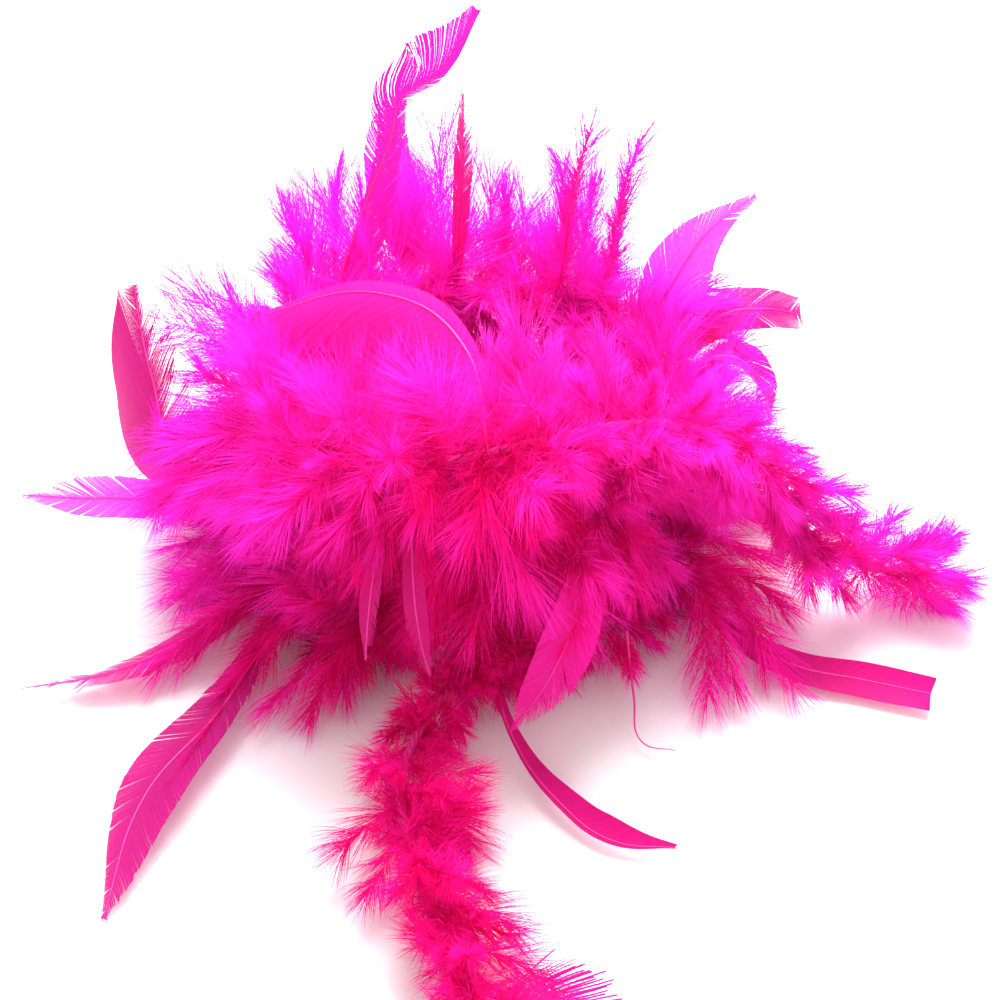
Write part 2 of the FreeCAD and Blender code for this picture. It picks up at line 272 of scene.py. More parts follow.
# The next two finishes are darker copies of the same satin: painted shade, and deeper painted shade,
# on the feathers that use them, most of which lie low at the front of the heap.
SATIN_PAINTED_SHADE = satin_finish("satin_vane_painted_shade", (0.50, 0.005, 0.13, 1), (0.80, 0.015, 0.30, 1),
                          (0.60, 0.006, 0.18, 1), 0.42)
SATIN_PAINTED_DEEP_SHADE = satin_finish("satin_vane_painted_deep_shade", (0.36, 0.006, 0.12, 1), (0.60, 0.012, 0.26, 1),
                          (0.46, 0.005, 0.16, 1), 0.5)
SATIN_PALE = satin_finish("satin_vane_pale", BRIGHT, PALE, (1.0, 0.10, 0.85, 1), 0.45)
QUILL = plain_finish("quill", (0.60, 0.006, 0.18, 1), (0.88, 0.03, 0.38, 1), 400, 0.45)
CORE = plain_finish("cotton_core", (0.55, 0.004, 0.16, 1), (0.85, 0.02, 0.32, 1), 900, 0.9)
THREAD = plain_finish("binding_thread", (0.60, 0.005, 0.18, 1), (0.95, 0.05, 0.45, 1), 1500, 0.6)
print("finishes:", [finish.name for finish in (DOWN, SATIN, SATIN_PAINTED_SHADE, SATIN_PAINTED_DEEP_SHADE, SATIN_PALE)])

# %% [markdown]
# ## The route of the cord
# The cord's route is written as a few dozen points, and a smooth spline of order three is drawn
# along them. Where one body ends and the next begins the spline is split in the middle of a run, so
# the pieces meet in one line and each piece can ride on its own body.

# %% Route points
HEAP = np.array((-11.0, 102.0, 0.0))
ROUTE = HEAP + np.array([
    (10, -348, 20), (-8, -304, 20), (2, -256, 20), (-20, -210, 20), (-36, -162, 20),
    (-22, -114, 20), (12, -82, 20), (58, -68, 20), (93, -26, 20), (90, 29, 20),
    (52, 73, 20), (-4, 90, 20), (-58, 72, 20), (-92, 26, 20), (-90, -28, 20),
    (-58, -62, 20), (-12, -42, 20), (28, -26, 20), (40, 12, 20), (12, 40, 20),
    (-28, 34, 30), (-48, -2, 54), (-34, -46, 70), (10, -66, 70), (54, -52, 68),
    (82, -8, 68), (72, 43, 69), (27, 77, 71), (-27, 80, 73), (-72, 52, 76),
    (-92, 4, 80), (-78, -45, 97), (-34, -71, 116), (18, -60, 119), (62, -42, 117),
    (102, -34, 103), (129, -30, 71), (142, -34, 36), (170, -36, 20), (203, -40, 20),
])
# The joints sit in the middle of these runs, counted from the front end.
FRONT_LIFT, FRONT_SWING, RIGHT_SWING, RIGHT_LIFT = 2, 4, 35, 37


def between(run):
    return (ROUTE[run] + ROUTE[run + 1]) / 2


STRETCH = {
    "front_tip": [*ROUTE[:3], between(FRONT_LIFT)],
    "front_tail": [between(FRONT_LIFT), *ROUTE[3:5], between(FRONT_SWING)],
    "heap": [between(FRONT_SWING), *ROUTE[5:36], between(RIGHT_SWING)],
    "right_tail": [between(RIGHT_SWING), *ROUTE[36:38], between(RIGHT_LIFT)],
    "right_tip": [between(RIGHT_LIFT), *ROUTE[38:]],
}


# %% Read a smooth line from a spline
SPLINE_STEPS = 16


def smooth_line(points, kind="NURBS"):
    """The points of a smooth spline that follows these control points, in millimetres."""
    data = bpy.data.curves.new("line", "CURVE")
    data.dimensions = "3D"
    data.resolution_u = SPLINE_STEPS
    spline = data.splines.new(kind)
    if kind == "NURBS":
        spline.points.add(len(points) - 1)
        for target, point in zip(spline.points, points):
            target.co = (*point, 1)
        spline.order_u = 3
        spline.use_endpoint_u = True
        spline.resolution_u = SPLINE_STEPS
    else:
        spline.bezier_points.add(len(points) - 1)
        for target, point in zip(spline.bezier_points, points):
            target.co = point
            target.handle_left_type = target.handle_right_type = "AUTO"
    carrier = bpy.data.objects.new("line", data)
    bpy.context.scene.collection.objects.link(carrier)
    bpy.context.view_layer.update()
    mesh = bpy.data.meshes.new_from_object(carrier)
    line = np.array([v.co for v in mesh.vertices])
    bpy.data.objects.remove(carrier)
    bpy.data.meshes.remove(mesh)
    fresh = np.r_[True, np.linalg.norm(np.diff(line, axis=0), axis=1) > 1e-4]
    return line[fresh]


# %% Measure along a line
def unit(vectors):
    return vectors / np.maximum(np.linalg.norm(vectors, axis=-1, keepdims=True), 1e-9)


def distances(line):
    return np.r_[0, np.cumsum(np.linalg.norm(np.diff(line, axis=0), axis=1))]


def at_shares(line, shares):
    """Points at shares of a line's length, and the directions in which it runs there."""
    passed = distances(line)
    here = np.asarray(shares) * passed[-1]
    step = 0.5

    def at(distance):
        return np.stack([np.interp(distance, passed, line[:, i]) for i in range(3)], -1)

    return at(here), unit(at(here + step) - at(here - step))


LINE = {body: smooth_line(points) for body, points in STRETCH.items()}
for body, line in LINE.items():
    print("%-11s cord runs %.0f mm" % (body, distances(line)[-1]))


# %% [markdown]
# ## The twisted core cord
# A real core is cotton strands twisted together, three here, with the feathers' quills caught
# between them. It could be a plain tube with a twisted pattern, but the strands show where the down
# parts, so each strand is a thin tube of its own that winds round the spline. The cord is soft.

# %% Gather arrays into a piece
class Gather:
    """Collects shapes in millimetres, each with its finish, and makes one piece of them."""

    def __init__(self):
        self.finishes = []
        self.shapes = []
        self.count = 0

    def add(self, finish, vertices, quads, triangles, uv=None, dye_and_root_shade=None):
        if finish not in self.finishes:
            self.finishes.append(finish)
        uv = np.zeros((len(vertices), 2)) if uv is None else uv
        dye_and_root_shade = np.full(len(vertices), 0.5) if dye_and_root_shade is None else dye_and_root_shade
        index = self.finishes.index(finish)
        self.shapes.append((vertices, quads + self.count, triangles + self.count, uv, dye_and_root_shade, index))
        self.count += len(vertices)

    def build(self, name):
        vertices, quads, triangles, uv, dye_and_root_shade = (
            np.concatenate([shape[i] for shape in self.shapes]) for i in range(5))
        corners = np.concatenate([quads.ravel(), triangles.ravel()]).astype(np.int32)
        counts = np.r_[np.full(len(quads), 4), np.full(len(triangles), 3)].astype(np.int32)
        finish_of = np.concatenate(
            [np.full(len(s[1]), s[5]) for s in self.shapes]
            + [np.full(len(s[2]), s[5]) for s in self.shapes]).astype(np.int32)
        mesh = bpy.data.meshes.new(name)
        mesh.vertices.add(len(vertices))
        mesh.vertices.foreach_set("co", (vertices * MM).astype(np.float32).ravel())
        mesh.loops.add(len(corners))
        mesh.loops.foreach_set("vertex_index", corners)
        mesh.polygons.add(len(counts))
        mesh.polygons.foreach_set("loop_start", (np.cumsum(counts) - counts).astype(np.int32))
        for finish in self.finishes:
            mesh.materials.append(finish)
        mesh.polygons.foreach_set("material_index", finish_of)
        mesh.polygons.foreach_set("use_smooth", np.ones(len(counts), bool))
        mesh.update(calc_edges=True)
        barbs = mesh.uv_layers.new(name="barbs")
        barbs.data.foreach_set("uv", uv[corners].astype(np.float32).ravel())
        dyed = mesh.attributes.new("dye_and_root_shade", "FLOAT", "POINT")
        dyed.data.foreach_set("value", dye_and_root_shade.astype(np.float32))
        mesh.validate()
        piece = bpy.data.objects.new(name, mesh)
        bpy.context.scene.collection.objects.link(piece)
        return piece


# %% Tube along a line
def tube(line, radii, sides):
    """Vertices and corner arrays of a closed round tube."""
    ahead = unit(np.gradient(line, axis=0))
    up = np.array((0.0, 0.0, 1.0))
    across = unit(np.cross(ahead, up) + 1e-6)
    over = np.cross(across, ahead)
    angle = np.arange(sides) * 2 * math.pi / sides
    ring = (across[:, None] * np.cos(angle)[None, :, None]
            + over[:, None] * np.sin(angle)[None, :, None])
    vertices = line[:, None] + ring * np.asarray(radii)[:, None, None]
    first = np.arange(len(line) - 1)[:, None] * sides
    here = np.arange(sides)
    beside = (here + 1) % sides
    quads = np.stack([first + here, first + sides + here, first + sides + beside,
                      first + beside], -1).reshape(-1, 4)
    ends = len(line) * sides
    caps_low = np.stack([np.full(sides, ends), here, beside], -1)
    last = (len(line) - 1) * sides
    caps_high = np.stack([np.full(sides, ends + 1), last + beside, last + here], -1)
    vertices = np.concatenate([vertices.reshape(-1, 3), line[:1], line[-1:]])
    return vertices, quads, np.concatenate([caps_low, caps_high])


# %% Twist three strands round each stretch of the route
STRAND_RADIUS = 0.95
STRAND_OFFSET = 1.05
STRAND_SIDES = 6
TWIST = 15.0  # millimetres of cord for one turn
STEPS_PER_TURN = 10


def twisted(line):
    length = distances(line)[-1]
    steps = int(length / TWIST * STEPS_PER_TURN)
    point, ahead = at_shares(line, np.linspace(0, 1, steps))
    across = unit(np.cross(ahead, (0.0, 0.0, 1.0)))
    over = np.cross(across, ahead)
    strands = Gather()
    for strand in range(3):
        angle = (np.linspace(0, length, steps) / TWIST + strand / 3) * 2 * math.pi
        wound = point + STRAND_OFFSET * (
            across * np.cos(angle)[:, None] + over * np.sin(angle)[:, None])
        strands.add(CORE, *tube(wound, np.full(steps, STRAND_RADIUS), STRAND_SIDES))
    return strands


CORD_FACTS = {
    # body: real length in metres, is the exit at its start, what is at the other end
    "heap": (1.50, True, "object"),
    "front_tail": (0.10, False, "object"),
    "front_tip": (0.118, False, "knot"),
    "right_tail": (0.073, True, "object"),
    "right_tip": (0.048, True, "knot"),
}
for body, (length, exit_first, far_end) in CORD_FACTS.items():
    line = LINE[body]
    cord = twisted(line).build("core_" + body + "_strands")
    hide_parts("core_" + body)
    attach(cord, body)
print("declared cord: %.2f m" % sum(facts[0] for facts in CORD_FACTS.values()))

# %% [markdown]
# ## Knots and bindings
# At each end a knot keeps the feathers on the cord, and a binding of thread beside it holds the last
# quills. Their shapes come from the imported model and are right, so they only get their finishes.

# %% Finishes of the carried-over pieces
for name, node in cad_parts.items():
    if name.startswith(("knot_", "binding_")):
        node.data.materials.clear()
        node.data.materials.append(CORE if name.startswith("knot_") else THREAD)
        print("finish on", name)

# %% [markdown]
# ## One hair of down
# A hair of down is a ribbon a few tenths of a millimetre wide that narrows to nothing. It is
# modelled once, as a grid of four faces in a row. The rows narrow, and the last two become the tip.
# Every hair of the boa is a bent copy of it, so it has as few faces as it can.

# %% Model the hair
bpy.ops.object.select_all(action="DESELECT")
bpy.ops.mesh.primitive_grid_add(x_subdivisions=4, y_subdivisions=1, size=1)
hair = bpy.context.object


def select_row(low, high):
    """Selects the corners between two places along the hair, in edit mode."""
    bpy.ops.object.mode_set(mode="EDIT")
    bpy.ops.mesh.select_all(action="DESELECT")
    bpy.ops.object.mode_set(mode="OBJECT")
    for vertex in hair.data.vertices:
        vertex.select = low < vertex.co.x < high
    bpy.ops.object.mode_set(mode="EDIT")


for row, narrowed in ((-0.25, 0.95), (0.0, 0.80)):
    select_row(row - 0.01, row + 0.01)
    bpy.ops.transform.resize(value=(1, narrowed, 1))
    bpy.ops.object.mode_set(mode="OBJECT")
select_row(0.2, 0.6)
bpy.ops.mesh.merge(type="CENTER")
bpy.ops.object.mode_set(mode="OBJECT")

HAIR_ALONG = np.array([v.co.x + 0.5 for v in hair.data.vertices])
HAIR_ACROSS = np.array([v.co.y for v in hair.data.vertices])
HAIR_QUADS = np.array([list(p.vertices) for p in hair.data.polygons if len(p.vertices) == 4])
HAIR_TIPS = np.array([list(p.vertices) for p in hair.data.polygons if len(p.vertices) == 3])
bpy.data.objects.remove(hair)
HAIR_FACES = len(HAIR_QUADS) + len(HAIR_TIPS)
print("one hair has %d corners and %d faces" % (len(HAIR_ALONG), HAIR_FACES))

# %% [markdown]
# ## Growing the down
# A down feather is a soft quill with hairs on both sides of it. The hairs cling to their neighbours,
# so their tips gather in small locks; that is what gives down its combed look and its wispy outline.
# The hairs are placed in arithmetic on arrays, because there are nearly three hundred thousand of
# them: each copy of the hair is bent along its own curve, then its tip is drawn towards the middle
# of its lock. Whatever would sink into the table is pressed up on to it.

# %% Press down on to the table
FLOOR_GAP = 0.4
FLOOR_SOFTNESS = 2.5
LOWEST_EDGE = 0.15


def above_floor(points):
    """Presses what would sink into the table up on to it, softly."""
    lifted = points.copy()
    height = (points[..., 2] - FLOOR_GAP) / FLOOR_SOFTNESS
    lifted[..., 2] = FLOOR_GAP + FLOOR_SOFTNESS * np.logaddexp(0, height)
    return lifted


def random_units(rng, count):
    return unit(rng.normal(size=(count, 3)))


# %% Grow hairs on many small quills
BARE_TIP = 0.06  # share of a quill that has no hairs at its tip
LEAN = (60, 34)  # degrees between a hair and its quill, at the quill's root and tip
HAIR_WIDTH = (0.18, 0.36)
CLING = (0.05, 0.8)  # how far hairs are drawn to the middle of their lock
SINK = np.array((0, 0, -0.12))
LENGTH_AT = ([0, 0.15, 0.6, 1], [0.5, 0.95, 1.0, 0.75])  # shares of a quill and of a full hair


def grow(rng, root, start, end, length, hair_length, count, groups=14, open_out=1.0):
    """Hairs along many quills, as (centre lines, widths' directions, widths, dye).

    root, start and end are arrays of points and directions: where a quill begins, how it leaves and
    how it ends. length and hair_length are arrays of millimetres. groups is the number of locks on
    each side of a quill. open_out is how far the hairs stand off it, as a share of what is usual."""
    quill = np.repeat(np.arange(len(root)), count)
    total = len(quill)
    share = rng.random(total) * (1 - BARE_TIP)
    side = rng.integers(0, 2, total) * 2 - 1
    d0, d1, reach = start[quill], end[quill], length[quill][:, None]
    t = share[:, None]
    base = root[quill] + reach * (d0 * t + (d1 - d0) * t * t / 2)
    run = unit(d0 + (d1 - d0) * t)
    flat = random_units(rng, len(root))[quill]
    across = unit(np.cross(run, flat))
    over = np.cross(across, run)
    lock = quill * 2 * groups + (side > 0) * groups + (share * groups).astype(int)
    locks = len(root) * 2 * groups

    lean = np.radians(np.interp(share, [0, 1], LEAN) * open_out
                      + rng.normal(0, 6, locks)[lock] + rng.normal(0, 9, total))[:, None]
    out = np.radians(rng.normal(0, 34, locks)[lock] + rng.normal(0, 24, total))[:, None]
    sideways = across * np.cos(out) * side[:, None] + over * np.sin(out)
    first = run * np.cos(lean) + np.sin(lean) * sideways
    noise = rng.normal(0, 0.30, (locks, 3))[lock] + rng.normal(0, 0.20, (total, 3))
    last = unit(first + run * 0.75 + noise + SINK)
    long = hair_length[quill] * np.interp(share, *LENGTH_AT) * rng.uniform(0.75, 1.2, total)
    long = long[:, None, None]
    s = HAIR_ALONG[None, :, None]
    first, last = first[:, None], last[:, None]
    centre = base[:, None] + long * (first * s + (last - first) * s * s / 2)

    tip = base + (long * (first + last) / 2)[:, 0]
    size = np.bincount(lock)[lock]
    middle = np.stack([np.bincount(lock, tip[:, i])[lock] / size for i in range(3)], -1)
    cling = rng.uniform(*CLING, locks)[lock] * rng.uniform(0.7, 1.0, total)
    pull = (middle - tip)[:, None] * cling[:, None, None]
    centre = centre + pull * s * s
    width = rng.uniform(*HAIR_WIDTH, total)
    facing = unit(np.cross(first[:, 0], random_units(rng, total)))
    # Painted shade deep in the down: darker at the root of each hair and of each quill, plus a random
    # tint of each feather's own.
    tint = rng.normal(0, 0.14, len(root))[quill]
    dye_and_root_shade = 0.12 + 0.30 * share[:, None] + 0.45 * HAIR_ALONG[None] + tint[:, None]
    return centre, facing, width, np.clip(dye_and_root_shade, 0, 1)


def ribbons(centre, facing, width, dye_and_root_shade):
    """The hairs as vertices, corner arrays, no map and the dye."""
    offset = facing[:, None] * (width[:, None] * HAIR_ACROSS[None])[:, :, None]
    vertices = above_floor(centre) + offset
    vertices[..., 2] = np.maximum(vertices[..., 2], LOWEST_EDGE)
    first = (np.arange(len(centre)) * len(HAIR_ALONG))[:, None, None]
    return (vertices.reshape(-1, 3), (first + HAIR_QUADS).reshape(-1, 4),
            (first + HAIR_TIPS).reshape(-1, 3), None, dye_and_root_shade.ravel())


# %% [markdown]
# ## The down along the cord
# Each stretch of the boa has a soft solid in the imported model, and one piece of down takes its
# place. The quills leave the cord all round in a spiral, lean away from the middle of the heap, and
# their ends droop a little. They are longest at the back of the top loops, where they stand free.

# %% Spans of down
HEAP_CENTRE = HEAP + np.array((0.0, 5.0, 30.0))
HINGE_CLEAR = 4.0
END_BARE = 12.0
DOWN_SPANS = [
    # body, number of pieces, bare millimetres at its start and end
    ("front_tip", 1, END_BARE, HINGE_CLEAR),
    ("front_tail", 1, HINGE_CLEAR, HINGE_CLEAR),
    ("heap", 16, HINGE_CLEAR, HINGE_CLEAR),
    ("right_tail", 1, HINGE_CLEAR, HINGE_CLEAR),
    ("right_tip", 1, HINGE_CLEAR, END_BARE),
]


def scattered(rng, line, low, high, count):
    """Points and directions at even distances along a stretch, each a little out of place."""
    where = low + (np.arange(count) + rng.random(count)) / count * (high - low)
    return at_shares(line, where / distances(line)[-1])


# %% The feathers of one stretch
QUILL_SPACING = 2.8
HAIRS = 320
CORE_SURFACE = 1.2  # millimetres from the cord's line to where a quill leaves it
SPIRAL = 137.5  # degrees from one quill to the next
DROOP = np.array((0, 0, -0.25))
LIFT = np.array((0, 0.25, 0.5))  # which way the tall feathers at the back stand
QUILL_IN_HEAP, TALLER_BEHIND, QUILL_OF_TAIL = 42, 18, 36


def small_feathers(rng, body, low, high, stand, combed):
    line = LINE[body]
    in_heap = body == "heap"
    count = int((high - low) / QUILL_SPACING)
    point, ahead = scattered(rng, line, low, high, count)
    level = unit(np.cross(ahead, (0.0, 0.0, 1.0)))
    upward = np.cross(level, ahead)
    turn = (np.arange(count) * SPIRAL + rng.uniform(-25, 25, count)) * math.pi / 180
    radial = level * np.cos(turn)[:, None] + upward * np.sin(turn)[:, None]
    outward = unit(point - HEAP_CENTRE)
    behind = np.clip((point[:, 1] - HEAP[1]) / 60, 0, 1)
    rear = behind * np.clip((point[:, 2] - 40) / 30, 0, 1)
    rise = rear[:, None] * LIFT
    inner = (rng.random(count) < (0.3 if in_heap else 0.1))[:, None]
    inward = np.array((0, 0, 0.6)) - outward * 0.2
    lean = np.where(inner, inward, outward * 0.55 + rise) + combed
    start = unit(radial + lean + rng.normal(0, 0.2, (count, 3)))
    away = np.where(inner, 0, outward * 0.5 + rise)
    end = unit(start + away + rng.normal(0, 0.38, (count, 3)) + DROOP)
    tall = QUILL_OF_TAIL
    if in_heap:
        tall = (QUILL_IN_HEAP + TALLER_BEHIND * rear) * (1 - 0.25 * inner[:, 0])
    quill = stand * tall * rng.uniform(0.75, 1.15, count)
    quill = quill * np.where(rng.random(count) < 0.1, 1.25, 1)
    hairs = quill * rng.uniform(0.68, 0.95, count)
    root = point + radial * CORE_SURFACE
    return grow(rng, root, start, end, quill, hairs, HAIRS, open_out=0.8)


# %% Fluff and tufts
FLUFF_HAIRS = 40
FLUFF_LENGTH = (9, 16)
TUFT_HAIRS = HAIRS + 140
TUFT_HAIR = 30.0


def fluff(rng, body, low, high):
    """Short hairs all round the cord, which hide it between the feathers."""
    count = int((high - low) / QUILL_SPACING) * 2
    point, ahead = scattered(rng, LINE[body], low, high, count)
    away = np.cross(ahead, random_units(rng, count))
    away = unit(away + ahead * rng.normal(0, 0.3, (count, 1)))
    quill = rng.uniform(*FLUFF_LENGTH, count)
    root = point + away * CORE_SURFACE
    return grow(rng, root, away, away, quill, quill + 4, FLUFF_HAIRS, groups=6)


def standing_tufts(rng, tufts):
    """Larger feathers with a root and a tip of their own, which arch between the two."""
    root = HEAP + np.array([tuft[0] for tuft in tufts], float)
    reach = HEAP + np.array([tuft[1] for tuft in tufts], float) - root
    arch = np.array((0, 0, 0.25)) + rng.normal(0, 0.12, reach.shape)
    quill = np.linalg.norm(reach, axis=1) * 0.86
    return grow(rng, root, unit(reach) + arch, unit(reach) - arch, quill,
                np.full(len(root), TUFT_HAIR), TUFT_HAIRS, groups=12, open_out=0.72)


# %% One piece of down
def down_piece(name, body, low, high, stand, combed, tufts, seed):
    rng = np.random.default_rng(seed)
    down = Gather()
    down.add(DOWN, *ribbons(*small_feathers(rng, body, low, high, stand, combed)))
    down.add(DOWN, *ribbons(*fluff(rng, body, low, high)))
    if tufts:
        down.add(DOWN, *ribbons(*standing_tufts(rng, tufts)))
    piece = down.build(name)
    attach(piece, body)
    return piece


# %% How each stretch lies
# How far the down of each stretch stands out, as a share of its usual length.
STAND = {
    "heap_01": 0.43, "heap_02": 0.44, "heap_05": 1.05, "heap_06": 1.0, "heap_12": 0.84,
    "heap_16": 0.60, "right_tail": 0.74, "right_tip": 0.76, "front_tail": 0.85,
}
# Which way the down of a stretch is combed by how it lies.
COMBED = {
    "heap_16": (0.1, -0.5, -0.5), "right_tail": (0.1, -0.35, -0.5), "right_tip": (0.2, 0.6, 0.2),
    "front_tail": (0.7, 0, 0),
}
# Tufts that stand out of the heap, by the stretch they are caught in: root and tip of each.
TUFTS = {
    "heap_02": [((92, -20, 30), (134, -30, 16)), ((92, -10, 30), (132, -12, 30)),
                ((92, -30, 24), (138, -52, 10)), ((90, -44, 24), (98, -112, 7)),
                ((92, -40, 26), (112, -108, 8)), ((94, -36, 26), (128, -100, 8)),
                ((94, -30, 24), (142, -112, 7))],
    "heap_05": [((-88, 10, 24), (-142, 4, 14)), ((-90, -10, 26), (-140, -20, 14)),
                ((-90, -22, 24), (-136, -46, 12))],
    "heap_06": [((-88, -20, 30), (-136, -64, 22)), ((-84, -40, 26), (-130, -84, 10)),
                ((-76, -50, 24), (-106, -98, 10)), ((-80, -42, 24), (-150, -96, 8)),
                ((-70, -54, 24), (-118, -110, 8)), ((-40, -56, 26), (-62, -108, 10)),
                ((-44, -60, 24), (-78, -121, 8)), ((-50, -60, 24), (-97, -117, 8))],
    "heap_07": [((40, 12, 24), (30, 14, 84)), ((28, -26, 24), (20, -10, 80)),
                ((12, 40, 24), (8, 42, 84))],
    "heap_08": [((-28, 34, 34), (-10, 28, 94)), ((-48, -2, 56), (-20, 8, 98)),
                ((-40, 20, 44), (-34, 26, 96))],
    "heap_09": [((-10, -56, 72), (-14, -92, 60)), ((20, -62, 70), (24, -98, 56))],
    "heap_10": [((50, -62, 80), (54, -98, 68)), ((40, -64, 80), (40, -102, 64)),
                ((60, -56, 76), (66, -92, 60))],
    "heap_11": [((60, 52, 86), (112, 66, 98)), ((66, 44, 84), (106, 44, 106)),
                ((70, 36, 84), (118, 52, 84))],
    "heap_12": [((8, 80, 90), (10, 96, 134)), ((34, 78, 88), (36, 96, 150)),
                ((48, 72, 86), (52, 92, 146)), ((0, 78, 76), (4, 34, 112)),
                ((24, 74, 76), (24, 34, 110)), ((-24, 78, 78), (-16, 38, 112)),
                ((44, 64, 74), (40, 26, 106)), ((4, 80, 70), (2, 44, 66)),
                ((14, 78, 70), (14, 50, 50)), ((-8, 80, 72), (-8, 54, 48)),
                ((-6, 80, 76), (-4, 52, 96)), ((-16, 80, 76), (-10, 56, 90)),
                ((-2, 80, 74), (-6, 60, 70))],
    "heap_13": [((-64, 58, 92), (-62, 92, 152)), ((-70, 52, 92), (-84, 82, 132)),
                ((-70, 40, 92), (-92, 56, 116)), ((-30, 80, 90), (-28, 96, 132))],
    "heap_14": [((-90, -10, 84), (-146, -20, 40)), ((-88, 0, 80), (-150, -2, 60)),
                ((-84, -30, 90), (-140, -50, 58)), ((-40, -66, 112), (-30, -18, 138)),
                ((-92, 6, 80), (-128, 24, 88)), ((-90, -14, 80), (-150, -34, 44)),
                ((-36, -70, 114), (-42, -104, 94)), ((-44, -68, 112), (-54, -104, 88))],
    "heap_15": [((-24, -72, 116), (-24, -106, 92)), ((4, -60, 118), (6, -12, 136)),
                ((30, -54, 116), (26, -8, 132)), ((52, -44, 114), (50, 0, 126))],
    "right_tip": [((186, -38, 22), (207, -44, 20)), ((186, -36, 24), (204, -20, 26))],
}

# %% Build the down
FIRST_DOWN_SEED = 11
seed = FIRST_DOWN_SEED
for body, pieces, bare_start, bare_end in DOWN_SPANS:
    length = distances(LINE[body])[-1]
    step = (length - bare_start - bare_end) / pieces
    for i in range(pieces):
        suffix = body + ("_%02d" % (i + 1) if pieces > 1 else "")
        low = bare_start + i * step
        piece = down_piece("down_" + suffix, body, low, low + step, STAND.get(suffix, 1.0),
                           np.array(COMBED.get(suffix, (0, 0, 0))), TUFTS.get(suffix, []), seed)
        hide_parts("plumage_" + suffix)
        seed += 1
print("down pieces:", seed - FIRST_DOWN_SEED)

# %% [markdown]
# ## The long feathers
# The long feathers are the same bird's flight and body feathers: a quill, and on each side of it a
# vane of barbs that are hooked into one smooth sheet. A sheet could be one grid with a picture of
# barbs, but a real vane splits between barbs and frays at its end, so each vane is a row of narrow
# strips, one per bundle of barbs. Where the vane is whole the strips share their edges, and where it
# is frayed each strip narrows to a point and strays from its neighbours.

# %% Shapes of the long feathers
STATIONS = (0.0, 0.2, 0.4, 0.6, 0.8, 1.0)


def even(width, widest):
    """Half widths of a plain vane at the stations."""
    halves = []
    for along in STATIONS:
        rise = min(1.0, along / widest)
        fall = min(1.0, max(0.0, (1 - along) / (1 - widest)))
        share = math.sin(math.pi / 2 * rise) ** 1.3 * math.sin(math.pi / 2 * fall) ** 0.7
        halves.append(width / 2 * (0.04 + 0.96 * share))
    return halves


NONE = (0, 0, 0, 0, 0, 0)
LITTLE = (0.3, 0.1, 0.05, 0.05, 0.1, 0.4)
TIP = (0.2, 0.05, 0.05, 0.15, 0.5, 0.9)
LOOSE = (0.6, 0.5, 0.5, 0.6, 0.8, 1.0)
